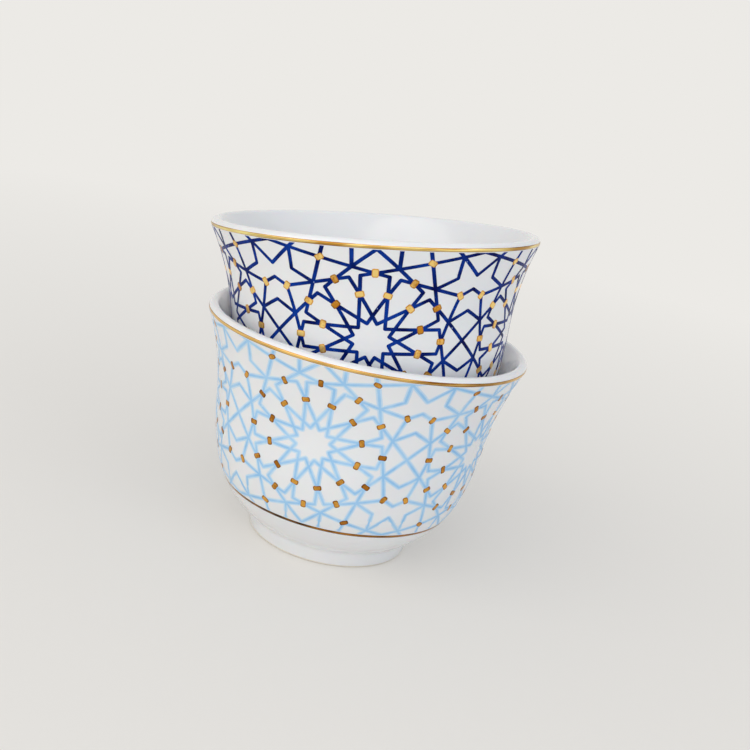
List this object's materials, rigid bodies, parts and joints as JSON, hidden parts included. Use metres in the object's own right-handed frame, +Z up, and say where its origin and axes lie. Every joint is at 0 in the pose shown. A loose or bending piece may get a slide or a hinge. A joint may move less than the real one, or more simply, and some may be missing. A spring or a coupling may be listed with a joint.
{
  "type": "nested arabic coffee cups",
  "caption": "Handleless porcelain coffee cups with flared lips, gold lines and a girih lattice print, the upper cup leaning inside the lower and lifting straight out.",
  "frame": {"origin": "centre of the lower cup's foot, on the surface it stands on", "axes": "+Z up along the lower cup's axis; the upper cup leans towards -X, so -Y looks at the side that the picture shows"},
  "size_m": [0.0676, 0.065, 0.07],
  "materials": {
    "porcelain": "clear gloss glaze",
    "gold": "fired-on bright gold",
    "navy_print": "fired-on navy transfer",
    "sky_print": "fired-on sky-blue transfer"
  },
  "bodies": {
    "lower_cup": {"lower_cup_body": "porcelain", "lower_rim_gilding": "gold", "lower_foot_gilding": "gold"},
    "upper_cup": {"upper_cup_body": "porcelain", "upper_rim_gilding": "gold", "upper_foot_gilding": "gold"}
  },
  "joints": [
    {"name": "upper_cup_lift", "type": "slide", "parent": "lower_cup", "child": "upper_cup", "axis": [0, 0, 1], "range_m": [0, 0.035]}
  ]
}
